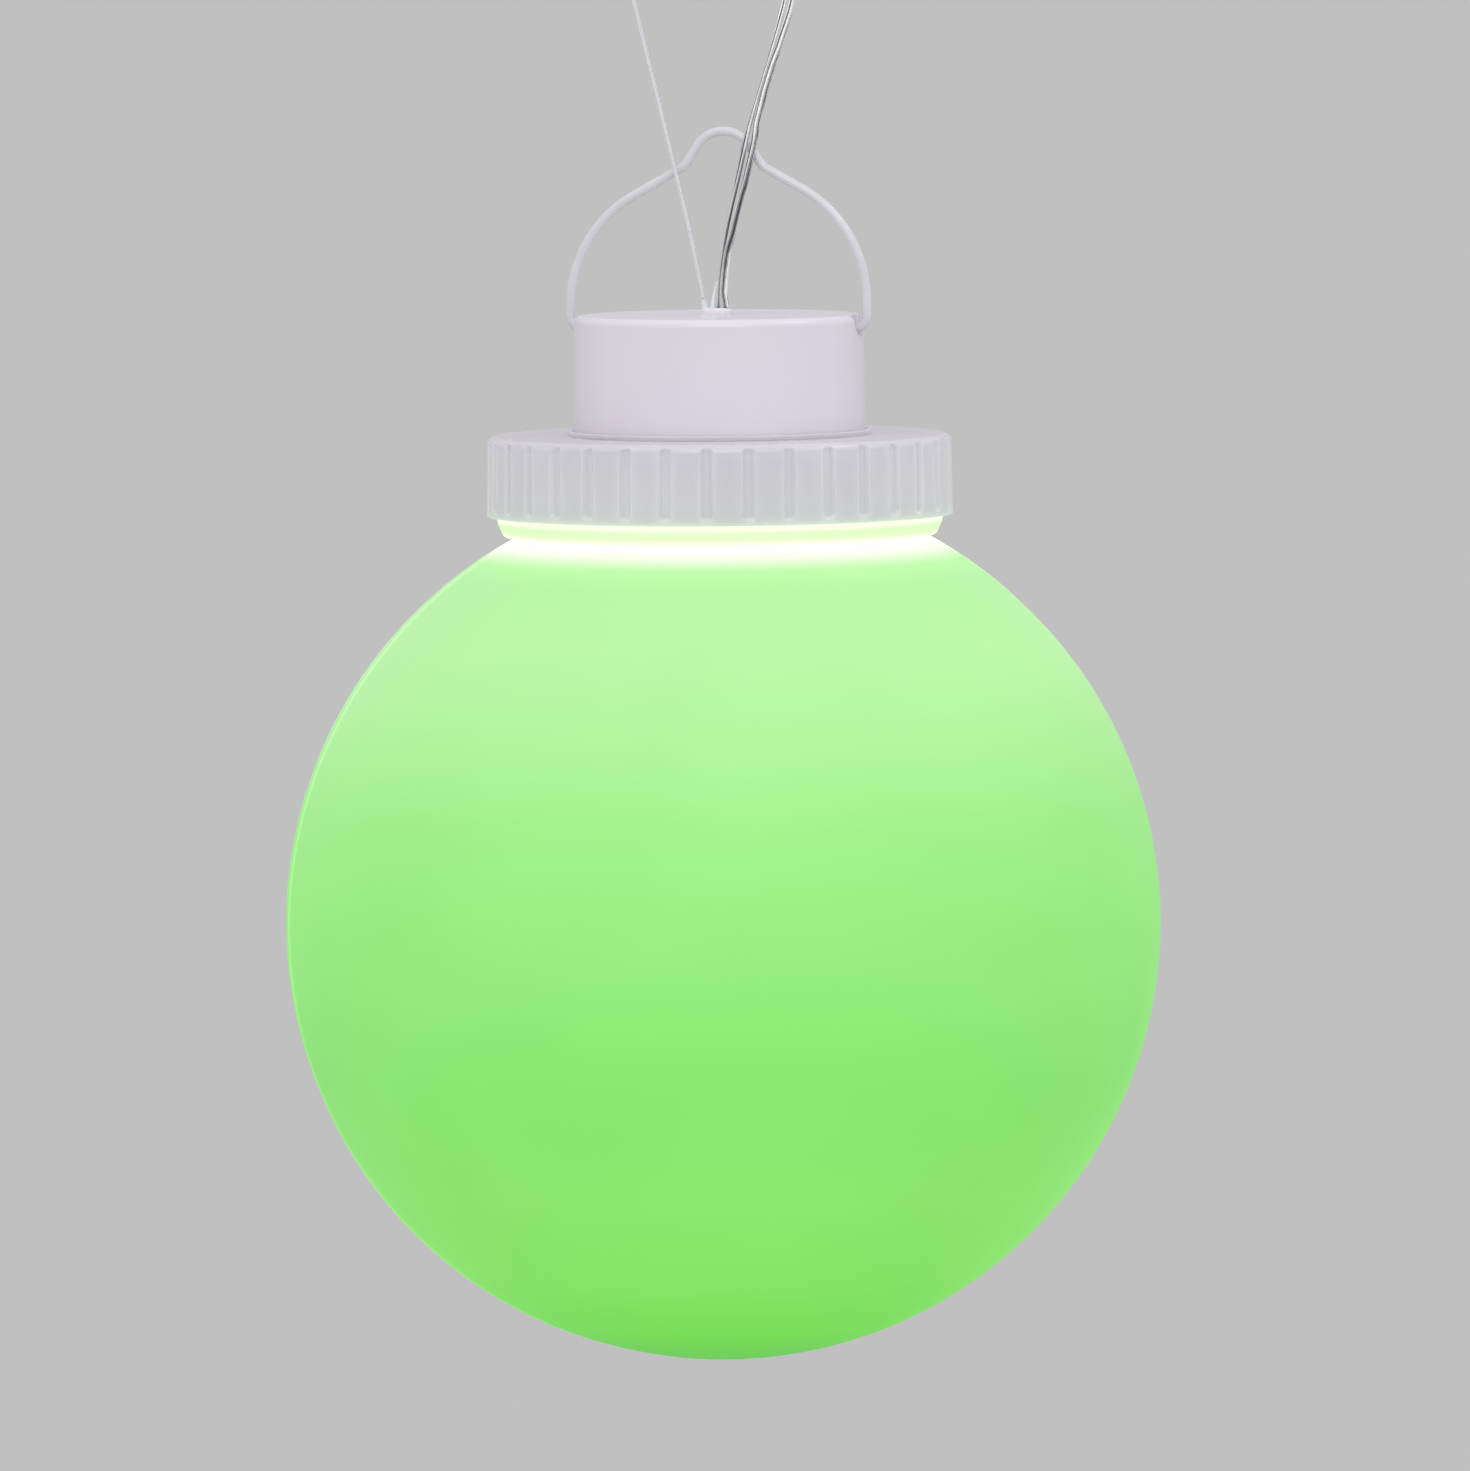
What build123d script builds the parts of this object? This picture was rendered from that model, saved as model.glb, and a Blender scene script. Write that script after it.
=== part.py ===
from build123d import *
import math
import os

# Garden globe light, in millimetres. +Z is up and X runs along the bail's hinge line.
# The origin is the point where a hook carries the light: under the bail's crown.
# Every height below is worked down from there.

# ---- bail: one bent wire with a hump for the hook ----
bail_wire = 2.1            # diameter over the white coating
bail_reach = 43.9          # hinge line up to the underside of the crown
bail_side_gap = 0.25       # wire to the housing's side
bail_arm_rise = 4.8        # hinge line up to the long round of each arm
bail_arm_slope = 29.0      # degrees above level where an arm meets the hump
bail_hump_half = 9.1       # half width of the hump at its foot
bail_hump_rise = 8.0       # foot of the hump up to the crown, on centre lines
bail_hump_slope = 57.0     # degrees above level of the hump's legs
bail_foot_round = 4.3      # bend between arm and hump
bail_foot_gap = 0.2        # least straight stretch between the arm's round and that bend
bail_hook_round = 3.0      # bend into the socket
bail_lean = 1.45           # the hump stands this far off the middle
bail_end_gap = 0.3         # wire end to the socket's blind end

# ---- cap housing ----
housing_radius = 33.4      # at the collar
housing_draft = 0.3        # how much narrower it is at the top
housing_rise = 27.4        # collar top up to the housing's top
housing_wall = 2.2
housing_top_wall = 2.4
housing_edge = 1.8         # round of the top edge
flange_wall = 2.4
hinge_drop = 3.2           # housing top down to the bail's hinge line
recess_radius = 5.0        # scalloped recess round each bail end
recess_depth = 1.3
socket_radius = 3.0        # blind boss that holds a bail end
socket_depth = 3.2         # of its hole, from the recess floor
socket_floor = 1.2         # closed end of that boss
hinge_play = 0.08          # radial, wire in socket

# ---- screw collar ----
collar_step = 19.5         # housing's side out to the collar's
collar_flare = 0.2         # wider by this much at the bottom
collar_height = 18.2
collar_wall = 3.8
collar_top_wall = 2.2
collar_edge = 1.8          # round of the top edge
collar_lip_width = 0.9     # raised lip round the housing
collar_lip_height = 1.2
collar_lip_round = 0.63
flute_count = 35
flute_width = 3.1          # at its mouth
flute_floor_width = 1.7
flute_depth = 0.8
flute_corner = 1.1         # of its mouth
flute_floor_corner = 0.4
flute_phase = 2.1          # degrees from the X axis to the first flute
flute_foot = 1.3           # plain strip under the flutes
flute_head = 0.3           # flute's upper end below the collar's top

# ---- globe ----
globe_radius = 100.0
globe_wall = 2.0
bead_inset = 2.1           # bead's edge inside the collar's
bead_side = 1.3            # upright part of the bead's side
bead_taper = 1.35          # narrower by this much at its lower corner
bead_taper_drop = 3.0
bead_taper_round = 3.0     # upright side into the taper
bead_corner = 1.0          # round of the lower corner
bead_under_drop = 0.4      # fall of the bead's underside to the pinch
pinch_inset = 4.15         # bead's edge in to the pinch
neck_wall = 2.2
rim_round = 0.6

# ---- running and seating clearances ----
collar_running_gap = 0.35  # housing wall to the collar's opening
flange_running_gap = 0.2   # housing flange to the underside of the collar's top
flange_side_gap = 0.7      # housing flange to the collar's bore
collar_bead_gap = 0.3      # collar's bottom edge to the bead
thread_room = 2.1          # radial room for the screw thread, neck to collar
rim_gap = 0.2              # globe rim to the gasket
screw_play = 0.05          # radial, screw shank in its hole
snug = 0.02                # radial, a moulded or pressed piece in its seat

# ---- neck gasket, carrier plate, lens and light engine ----
gasket_wall = 1.5
gasket_inset = 0.1         # gasket's bore past the neck's bore
gasket_margin = 1.0        # gasket past the neck's outside
carrier_room = 1.4         # radial, carrier plate in the globe's neck
carrier_wall = 2.2
wire_hole_radius = 4.0     # through carrier and light board
lens_depth = 9.0
lens_rim_width = 6.2       # rim of the lens, outside its wall
lens_wall = 1.8
lens_round = 5.0
lens_rim_wall = 2.0
seal_inset = 5.1           # carrier's edge in to the seal's centre line
seal_width = 1.6
seal_height = 1.2
seal_play = 0.1            # each side, in its groove
cover_screw_count = 4
cover_screw_inset = 1.8    # carrier's edge in to the screws
cover_screw_angle = 45.0
cover_screw_bite = 1.8     # length in the housing's flange
light_board_margin = 1.2   # light board to the carrier screws' heads
light_board_wall = 1.6
chip_count = 12
chip_inset = 5.8           # board's edge in to the chips' middles
chip_side = 5.0
chip_height = 1.6
chip_window = 2.0          # radius of the round light window
chip_window_depth = 0.3
light_screw_circle = 9.0
light_screw_angle = 90.0
light_screw_bite = 1.8     # length in the carrier plate

# ---- posts that hang from the housing's top ----
post_radius = 3.0
long_post_inset = 2.7      # housing's bore in to the long posts' middles
long_post_angle = 60.0
short_post_inset = 4.5     # driver board's edge in to the short posts' middles
short_post_angle = 30.0
post_count = 3
pilot_depth = 8.0

# ---- screws ----
screw_shank = 1.25         # radius
screw_head = 2.4           # radius
screw_head_height = 1.5
screw_length = 6.5         # under the head, in the posts
screw_tip_gap = 0.3        # screw's tip to the end of a short blind hole

# ---- driver board and its parts ----
board_margin = 1.7         # driver board to the long posts
board_wall = 1.6
board_lift = 5.8           # carrier plate up to the driver board
terminal_inset = 5.5       # driver board's edge in to the terminal block's middle
terminal_length = 10.0
terminal_depth = 7.6
terminal_height = 8.5
terminal_screw = 1.5       # radius of the two screw wells
terminal_screw_offset = 2.0  # towards the far side
terminal_screw_depth = 4.25
terminal_pitch = 5.0
choke_radius = 6.5
choke_height = 10.5
choke_cheek = 1.4          # end plates of its core
choke_winding_inset = 0.9
choke_spot = (-9.0, -3.0)
capacitors = (((9.0, -6.0), 5.0, 12.5), ((2.5, -12.5), 3.15, 11.0))
capacitor_waist = 1.6      # crimp above the board
capacitor_crimp = 0.35
rectifier_size = (8.0, 6.5, 4.0)
rectifier_spot = (8.6, 3.2)
driver_chip_size = (5.0, 4.0, 1.6)
driver_chip_spot = (0.0, 3.0)
component_chamfer = 0.3

# ---- lead: clear flat twin flex ----
lead_width = 3.3
lead_wall = 1.7
lead_x = 0.93              # where it leaves the housing, on the hinge line
lead_turn = -21.8          # degrees, the lead's broad side against X
tail_round = 4.0           # bends inside the housing
clamp_spot = 9.0           # clamp's middle, from the gland
clamp_block_length = 16.0
clamp_block_depth = 5.0
clamp_bar_round = 1.5
clamp_screw_pitch = 11.0
clamp_bar_wall = 2.0
clamp_screw_bite = 4.0     # length in the block
clamp_drop = 5.0           # housing's inner top down to the lead

# Route of the free lead: (along its broad side, height above the gland).
lead_route = (
    (0, 0),
    (0, 6.5),
    (2.55, 18.6),
    (6.1, 30.6),
    (8.65, 40.6),
    (12.4, 51.4),
    (16.6, 62.6),
    (19.9, 73.1),
    (19.9, 82.6),
)

# ---- silicone gland ----
gland_middle = -0.5
gland_length = 7.0
gland_depth = 4.6
gland_height = 1.5
gland_edge = 0.8
gland_body_length = 6.6
gland_body_depth = 3.8
gland_flange = 1.2         # how far the inner flange reaches past the body
gland_flange_wall = 1.4
nib_radius = 0.95
nib_tip = 0.62
nib_length = 2.0

# ---- string with its inner stopper and outer loop ----
string_wire = 1.0
string_x = -3.05
string_foot_lean = (-0.178, -0.075)   # sideways travel for each millimetre up
string_lean = (-0.224, -0.075)        # the same above its slight bend
string_foot_rise = 15.4    # gland up to the slight bend
string_rise = 84.0         # gland up to the loop's knot
string_bend = 4.0          # round of its bend in the gland
knot_radius = 1.7
knot_height = 3.0
knot_round = 0.75
washer_radius = 2.1
washer_wall = 0.8
loop_knot_radius = 1.5
loop_knot_height = 4.0
loop_knot_round = 0.75
loop_half_foot = 0.6
loop_half_width = 4.8
loop_half_top = 3.0
loop_height = 16.0
loop_waist_rise = 7.2
loop_root = 1.0            # length inside the knot
loop_side_bend = 6.0
loop_top_bend = 2.8

# ---- lead's plug ----
relief_tip = 2.1           # radius where the lead enters
relief_taper = 0.9         # wider by this much at the plug
relief_length = 9.0
plug_radius = 4.4
plug_length = 14.0
plug_edge = 0.9
plug_grips = 5
plug_grip_depth = 0.45
plug_grip_width = 1.1
plug_grip_pitch = 2.1
barrel_radius = 2.75
barrel_length = 9.5
barrel_wall = 0.4
barrel_root = 2.0          # length inside the plug body
barrel_root_step = 0.3     # narrower there
centre_bore = 1.05
insulator_set_back = 0.4    # behind the barrel's open end

wire_radius = 0.6          # two wires to the light board
wire_spread = 1.8
wire_end = 6.5
wire_bend = 1.2

# ---- heights, all from the hook point ----
hinge_z = -bail_reach
collar_radius = housing_radius + collar_step
bead_radius = collar_radius - bead_inset
bail_half_width = housing_radius + bail_side_gap + bail_wire / 2
housing_top = hinge_z + hinge_drop
housing_inner_top = housing_top - housing_top_wall
collar_top = housing_top - housing_rise
collar_under_top = collar_top - collar_top_wall
collar_bottom = collar_top - collar_height
flange_top = collar_under_top - flange_running_gap
flange_under = flange_top - flange_wall
bead_top = collar_bottom - collar_bead_gap
bead_taper_top = bead_top - bead_side
bead_corner_z = bead_taper_top - bead_taper_drop
bead_bottom = bead_corner_z - bead_under_drop
pinch_radius = bead_radius - pinch_inset
globe_centre = bead_bottom - math.sqrt(globe_radius**2 - pinch_radius**2)
carrier_under = flange_under - carrier_wall
light_board_under = carrier_under - light_board_wall
lens_rim_under = carrier_under - lens_rim_wall
board_under = flange_under + board_lift
board_top = board_under + board_wall
housing_top_radius = housing_radius - housing_draft
housing_bore = housing_top_radius - housing_wall
long_post_circle = housing_bore - long_post_inset
flange_radius = collar_radius - collar_wall - flange_side_gap
collar_bore = collar_radius - collar_wall
wire_half = bail_wire / 2
gasket_under = flange_under - gasket_wall
neck_rim = gasket_under - rim_gap
neck_radius = collar_bore - thread_room
neck_bore = neck_radius - neck_wall
carrier_radius = neck_bore - carrier_room
lens_radius = carrier_radius - lens_rim_width
seal_radius = carrier_radius - seal_inset
cover_screw_circle = carrier_radius - cover_screw_inset
board_radius = long_post_circle - post_radius - board_margin
short_post_circle = board_radius - short_post_inset
terminal_spot = board_radius - terminal_inset
light_board_radius = long_post_circle - screw_head - light_board_margin
chip_circle = light_board_radius - chip_inset
pilot_radius = screw_shank + screw_play
gland_top = housing_top + gland_height
clamp_under = housing_inner_top - clamp_drop
lead_level = clamp_under - lead_wall / 2
terminal_top = board_top + terminal_height

os.makedirs("parts", exist_ok=True)


def save(piece, name):
    """Labels a finished piece and writes it."""
    piece.part.label = name
    export_step(piece.part, f"parts/{name}.step")


def ring(outer, inner, bottom, height):
    """A flat ring about the Z axis."""
    with BuildPart() as made:
        with BuildSketch(Plane.XY.offset(bottom)):
            Circle(outer)
            Circle(inner, mode=Mode.SUBTRACT)
        extrude(amount=height)
    return made


def route_radii(points):
    """One radius for each corner of a route: as large as its two runs allow."""
    radii = []
    for before, here, after in zip(points, points[1:], points[2:]):
        run_in = Vector(*here) - Vector(*before)
        run_out = Vector(*after) - Vector(*here)
        half_turn = math.radians(run_in.get_angle(run_out)) / 2
        radii.append(0.45 * min(run_in.length, run_out.length) / math.tan(half_turn))
    return radii


def check_cord(name, piece, route, section):
    """Prints a cord's radii and compares its volume with section times length."""
    radii = [round(radius, 1) for radius in route_radii(route)]
    length = FilletPolyline(*route, radius=route_radii(route)).length
    print(name, "length", round(length, 2), "radii", radii)
    print(name, "volume", round(piece.part.volume, 2), "section x length", round(section * length, 2))


def screw(head_bottom, length, spots):
    """Pan-head screws that point up, one at each spot."""
    with BuildPart() as made:
        with BuildSketch(Plane.XY.offset(head_bottom)):
            with Locations(*spots):
                Circle(screw_head)
        extrude(amount=screw_head_height)
        with BuildSketch(Plane.XY.offset(head_bottom + screw_head_height)):
            with Locations(*spots):
                Circle(screw_shank)
        extrude(amount=length)
    return made


def on_circle(radius, first_angle, count):
    """Evenly spaced points on a circle about the Z axis."""
    turns = [math.radians(first_angle + 360 / count * step) for step in range(count)]
    return [(radius * math.cos(turn), radius * math.sin(turn)) for turn in turns]


def in_lead_frame(x, y):
    """A point given along and across the lead's broad side, in the light's own axes."""
    turn = math.radians(lead_turn)
    return (lead_x + x * math.cos(turn) - y * math.sin(turn), x * math.sin(turn) + y * math.cos(turn))


long_posts = on_circle(long_post_circle, long_post_angle + lead_turn, post_count)
short_posts = on_circle(short_post_circle, short_post_angle + lead_turn, post_count)
cover_screw_spots = on_circle(cover_screw_circle, cover_screw_angle, cover_screw_count)
light_screw_spots = on_circle(light_screw_circle, light_screw_angle, post_count)
clamp_screw_spots = [in_lead_frame(side * clamp_screw_pitch / 2, clamp_spot) for side in (-1, 1)]

# ---- globe: sphere, pinched neck, bead ring and threaded neck's plain core ----
globe_inner = globe_radius - globe_wall
inner_shoulder = globe_centre + math.sqrt(globe_inner**2 - neck_bore**2)
with BuildPart() as globe_shell:
    with BuildSketch(Plane.XZ):
        with BuildLine():
            ThreePointArc(
                (0, globe_centre - globe_radius), (globe_radius, globe_centre), (pinch_radius, bead_bottom)
            )
            FilletPolyline(
                (pinch_radius, bead_bottom),
                (bead_radius - bead_taper, bead_corner_z),
                (bead_radius, bead_taper_top),
                (bead_radius, bead_top),
                radius=[bead_corner, bead_taper_round],
            )
            Line((bead_radius, bead_top), (neck_radius, bead_top))
            Line((neck_radius, bead_top), (neck_radius, neck_rim))
            Line((neck_radius, neck_rim), (neck_bore, neck_rim))
            Line((neck_bore, neck_rim), (neck_bore, inner_shoulder))
            ThreePointArc((neck_bore, inner_shoulder), (globe_inner, globe_centre), (0, globe_centre - globe_inner))
            Line((0, globe_centre - globe_inner), (0, globe_centre - globe_radius))
        make_face()
    revolve(axis=Axis.Z)
    rim_edges = globe_shell.edges().filter_by(GeomType.CIRCLE).group_by(Axis.Z)[-1]
    fillet(rim_edges, rim_round)
    bead_edge = globe_shell.edges().filter_by(
        lambda edge: abs(edge.center().Z - bead_top) < 0.01 and edge.bounding_box().size.X > 2 * bead_radius - 0.1
    )
    fillet(bead_edge, rim_round)
save(globe_shell, "globe_shell")

# ---- screw collar: ring nut with a lip round the housing and flutes for the hand ----
opening_radius = housing_radius + collar_running_gap
lip_radius = opening_radius + collar_lip_width
flute_slope = (flute_width - flute_floor_width) / 2
flute_floor_length = collar_height - flute_foot - flute_head - 2 * flute_slope
flute_middle = (collar_bottom + flute_foot + collar_top - flute_head) / 2
with BuildPart() as one_flute:
    for level in (0, 1, 2):
        with BuildSketch(Plane.YZ.offset(collar_radius - flute_depth * (1 - level))):
            with Locations((0, flute_middle)):
                RectangleRounded(
                    flute_floor_width + 2 * flute_slope * level,
                    flute_floor_length + 2 * flute_slope * level,
                    flute_floor_corner + (flute_corner - flute_floor_corner) * level,
                )
    loft(ruled=True)
with BuildPart() as screw_collar:
    with BuildSketch(Plane.XZ):
        with BuildLine() as collar_outline:
            Polyline(
                (collar_bore, collar_bottom),
                (collar_radius + collar_flare, collar_bottom),
                (collar_radius, collar_top),
                (lip_radius, collar_top),
                (lip_radius, collar_top + collar_lip_height),
                (opening_radius, collar_top + collar_lip_height),
                (opening_radius, collar_under_top),
                (collar_bore, collar_under_top),
                close=True,
            )
        make_face()
        fillet(collar_outline.vertices().sort_by_distance((collar_radius, collar_top))[0], collar_edge)
        lip_corner = collar_outline.vertices().sort_by_distance((lip_radius, collar_top + collar_lip_height))[0]
        fillet(lip_corner, collar_lip_round)
    revolve(axis=Axis.Z)
    with PolarLocations(0, flute_count, start_angle=flute_phase):
        add(one_flute.part, mode=Mode.SUBTRACT)
save(screw_collar, "screw_collar")

# ---- free cords and their tails, which the gland is moulded round ----
lead_across = Vector(math.cos(math.radians(lead_turn)), math.sin(math.radians(lead_turn)), 0)
lead_through = Vector(0, 0, 1).cross(lead_across)
lead_base = Vector(lead_x, 0, 0)


def lead_plane(height):
    """Level plane at a height, its X along the lead's broad side."""
    return Plane(origin=lead_base + Vector(0, 0, height), x_dir=lead_across, z_dir=(0, 0, 1))


def swept_cord(route, radii, start, section):
    """A cord's solid: its section, drawn on the start plane, along runs joined by arcs."""
    with BuildPart() as made:
        with BuildLine():
            FilletPolyline(*route, radius=radii)
        with BuildSketch(start):
            section()
        sweep()
    return made


def lead_section():
    SlotOverall(lead_width, lead_wall)


def string_section():
    Circle(string_wire / 2)


lead_points = [tuple(lead_base + lead_across * along + Vector(0, 0, gland_top + rise)) for along, rise in lead_route]
lead_first = Vector(*lead_points[1]) - Vector(*lead_points[0])
lead_start = Plane(origin=lead_points[0], x_dir=lead_through.cross(lead_first), z_dir=lead_first)
power_lead = swept_cord(lead_points, route_radii(lead_points), lead_start, lead_section)
save(power_lead, "power_lead")
lead_area = (lead_width - lead_wall) * lead_wall + math.pi * lead_wall**2 / 4
check_cord("power_lead", power_lead, lead_points, lead_area)

tail_points = [
    tuple(lead_base + lead_through * across + Vector(0, 0, height))
    for across, height in (
        (0, gland_top),
        (0, lead_level),
        (terminal_spot, lead_level),
        (terminal_spot, terminal_top),
    )
]
tail_start = Plane(origin=tail_points[0], x_dir=lead_across, z_dir=(0, 0, -1))
lead_tail = swept_cord(tail_points, [tail_round, tail_round], tail_start, lead_section)
save(lead_tail, "lead_tail")

string_base = Vector(string_x, 0, gland_top)
string_up = Vector(*string_foot_lean, 1)
string_exit = string_base + string_up * nib_length
string_knee = string_base + string_up * string_foot_rise
string_end = string_knee + Vector(*string_lean, 1) * (string_rise - string_foot_rise)
string_points = [tuple(string_exit), tuple(string_knee), tuple(string_end)]
string_start = Plane(origin=string_exit, z_dir=string_up)
hanging_string = swept_cord(string_points, route_radii(string_points), string_start, string_section)
save(hanging_string, "hanging_string")
check_cord("hanging_string", hanging_string, string_points, math.pi * string_wire**2 / 4)

washer_under = housing_inner_top - gland_flange_wall - washer_wall
anchor_points = [(string_x, 0, washer_under - knot_height / 2), tuple(string_base), tuple(string_exit)]
anchor_start = Plane(origin=anchor_points[0], z_dir=(0, 0, 1))
anchor_bend = min(string_bend, route_radii(anchor_points)[0])
with BuildPart() as string_anchor:
    add(swept_cord(anchor_points, [anchor_bend], anchor_start, string_section).part)
    with BuildSketch(Plane.XY.offset(washer_under - knot_height)):
        with Locations((string_x, 0)):
            Circle(knot_radius)
    extrude(amount=knot_height)
    fillet(string_anchor.edges().filter_by(GeomType.CIRCLE).group_by(Axis.Z)[0], knot_round)
save(string_anchor, "string_anchor")

with BuildPart() as anchor_washer:
    with BuildSketch(Plane.XY.offset(washer_under)):
        with Locations((string_x, 0)):
            Circle(washer_radius)
            Circle(string_wire / 2 + snug, mode=Mode.SUBTRACT)
    extrude(amount=washer_wall)
save(anchor_washer, "anchor_washer")

# ---- the string's tied loop, for a hook above ----
string_along = Vector(*string_lean, 1).normalized()
loop_across = Vector(0, 1, 0).cross(string_along).normalized()
loop_plane = Plane(origin=string_end, x_dir=loop_across, z_dir=loop_across.cross(string_along))
loop_foot = loop_knot_height - loop_root
loop_waist = loop_knot_height + loop_waist_rise
loop_top = loop_knot_height + loop_height
loop_shape = [
    (loop_half_foot, loop_foot),
    (loop_half_width, loop_waist),
    (loop_half_top, loop_top),
    (-loop_half_top, loop_top),
    (-loop_half_width, loop_waist),
    (-loop_half_foot, loop_foot),
]
loop_points = [tuple(loop_plane.from_local_coords(Vector(x, y, 0))) for x, y in loop_shape]
loop_start = Plane(origin=loop_points[0], z_dir=Vector(*loop_points[1]) - Vector(*loop_points[0]))
with BuildPart() as string_loop:
    with BuildSketch(Plane(origin=string_end, z_dir=string_along)):
        Circle(loop_knot_radius)
    extrude(amount=loop_knot_height)
    fillet(string_loop.edges().filter_by(GeomType.CIRCLE), loop_knot_round)
    loop_bends = [loop_side_bend, loop_top_bend, loop_top_bend, loop_side_bend]
    add(swept_cord(loop_points, loop_bends, loop_start, string_section).part)
save(string_loop, "string_loop")

# ---- silicone gland: plug through the housing's top, mound outside, flange inside ----
with BuildPart() as cable_gland:
    with BuildSketch(Plane.XY.offset(housing_top)):
        with Locations((gland_middle, 0)):
            SlotOverall(gland_length, gland_depth)
    extrude(amount=gland_height)
    fillet(cable_gland.edges().group_by(Axis.Z)[-1], gland_edge)
    with BuildSketch(Plane.XY.offset(housing_inner_top)):
        with Locations((gland_middle, 0)):
            SlotOverall(gland_body_length, gland_body_depth)
    extrude(amount=housing_top_wall)
    with BuildSketch(Plane.XY.offset(housing_inner_top - gland_flange_wall)):
        with Locations((gland_middle, 0)):
            SlotOverall(gland_body_length + 2 * gland_flange, gland_body_depth + 2 * gland_flange)
    extrude(amount=gland_flange_wall)
    nib_plane = Plane(origin=string_base, z_dir=string_up)
    with BuildSketch(nib_plane.offset(-gland_height / 2)):
        Circle(nib_radius)
    with BuildSketch(nib_plane.offset(string_up.length * nib_length)):
        Circle(nib_tip)
    loft()
    add(lead_tail.part, mode=Mode.SUBTRACT)
    add(string_anchor.part, mode=Mode.SUBTRACT)
save(cable_gland, "cable_gland")

# ---- cap housing ----
recess_floor = housing_top_radius - recess_depth
socket_end = recess_floor - socket_depth
with BuildPart() as cap_housing:
    with BuildSketch(Plane.XZ):
        with BuildLine() as housing_outline:
            Polyline(
                (0, housing_inner_top),
                (0, housing_top),
                (housing_top_radius, housing_top),
                (housing_radius, collar_top),
                (housing_radius, flange_top),
                (flange_radius, flange_top),
                (flange_radius, flange_under),
                (housing_bore, flange_under),
                (housing_bore, housing_inner_top),
                close=True,
            )
        make_face()
        top_corner = housing_outline.vertices().sort_by_distance((housing_top_radius, housing_top))[0]
        fillet(top_corner, housing_edge)
    revolve(axis=Axis.Z)
    # Posts: the long ones reach the carrier plate, the short ones the driver board.
    for post_bottom, post_spots in ((flange_under, long_posts), (board_top, short_posts)):
        with BuildSketch(Plane.XY.offset(post_bottom)):
            with Locations(*post_spots):
                Circle(post_radius)
        extrude(amount=housing_inner_top - post_bottom)
        with BuildSketch(Plane.XY.offset(post_bottom)):
            with Locations(*post_spots):
                Circle(pilot_radius)
        extrude(amount=pilot_depth, mode=Mode.SUBTRACT)
    # Block that the lead is clamped against.
    with BuildSketch(lead_plane(clamp_under)):
        with Locations((0, clamp_spot)):
            Rectangle(clamp_block_length, clamp_block_depth)
    extrude(amount=clamp_drop)
    with BuildSketch(Plane.XY.offset(clamp_under)):
        with Locations(*clamp_screw_spots):
            Circle(pilot_radius)
    extrude(amount=clamp_screw_bite, mode=Mode.SUBTRACT)
    # Blind sockets and scalloped recesses for the bail's ends.
    for side in (-1, 1):
        boss_plane = Plane(origin=(side * (socket_end - socket_floor), 0, hinge_z), x_dir=(0, 1, 0), z_dir=(side, 0, 0))
        with BuildSketch(boss_plane):
            Circle(socket_radius)
        extrude(amount=housing_bore - socket_end + socket_floor + housing_wall / 4)
        recess_plane = Plane(origin=(side * recess_floor, 0, housing_top), x_dir=(0, 1, 0), z_dir=(side, 0, 0))
        with BuildSketch(recess_plane):
            Circle(recess_radius)
        extrude(amount=2 * recess_depth, mode=Mode.SUBTRACT)
        hole_plane = Plane(origin=(side * socket_end, 0, hinge_z), x_dir=(0, 1, 0), z_dir=(side, 0, 0))
        with BuildSketch(hole_plane):
            Circle(wire_half + hinge_play)
        extrude(amount=socket_depth + recess_depth, mode=Mode.SUBTRACT)
    # Opening for the gland, and pilot holes for the cover screws.
    with BuildSketch(Plane.XY.offset(housing_inner_top)):
        with Locations((gland_middle, 0)):
            SlotOverall(gland_body_length, gland_body_depth)
    extrude(amount=housing_top_wall, mode=Mode.SUBTRACT)
    with BuildSketch(Plane.XY.offset(flange_under)):
        with Locations(*cover_screw_spots):
            Circle(pilot_radius)
    extrude(amount=cover_screw_bite, mode=Mode.SUBTRACT)
save(cap_housing, "cap_housing")

# ---- bail ----
foot_z = wire_half - bail_hump_rise
apex_z = foot_z + bail_hump_half * math.tan(math.radians(bail_hump_slope))
crown_round = (apex_z - wire_half) / (1 / math.cos(math.radians(bail_hump_slope)) - 1)
bail_end = socket_end + bail_end_gap


def bail_side(side):
    """Corner points of one side of the bail, from its end in the socket to the hump's foot."""
    foot_x = bail_lean + side * bail_hump_half
    arm_drop = (bail_half_width - abs(foot_x)) * math.tan(math.radians(bail_arm_slope))
    return [
        (side * bail_end, hinge_z),
        (side * bail_half_width, hinge_z),
        (side * bail_half_width, foot_z - arm_drop),
        (foot_x, foot_z),
    ]


def arm_room(side):
    """Length that the corner of an arm's round may take from each of its two runs."""
    corner, foot = bail_side(side)[2:]
    foot_bend = bail_foot_round * math.tan(math.radians(bail_hump_slope - bail_arm_slope) / 2)
    beside_housing = corner[1] - hinge_z - bail_arm_rise
    along_arm = math.dist(corner, foot) - foot_bend - bail_foot_gap
    return min(beside_housing, along_arm)


bail_arm_radius = min(arm_room(-1), arm_room(1)) / math.tan(math.radians(90 - bail_arm_slope) / 2)
bail_shape = bail_side(-1) + [(bail_lean, apex_z)] + bail_side(1)[::-1]
bail_side_rounds = [bail_hook_round, bail_arm_radius, bail_foot_round]
with BuildPart() as bail:
    with BuildLine(Plane.XZ):
        FilletPolyline(*bail_shape, radius=bail_side_rounds + [crown_round] + bail_side_rounds[::-1])
    with BuildSketch(Plane(origin=(-bail_end, 0, hinge_z), z_dir=(-1, 0, 0))):
        Circle(wire_half)
    sweep()
save(bail, "bail")

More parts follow.
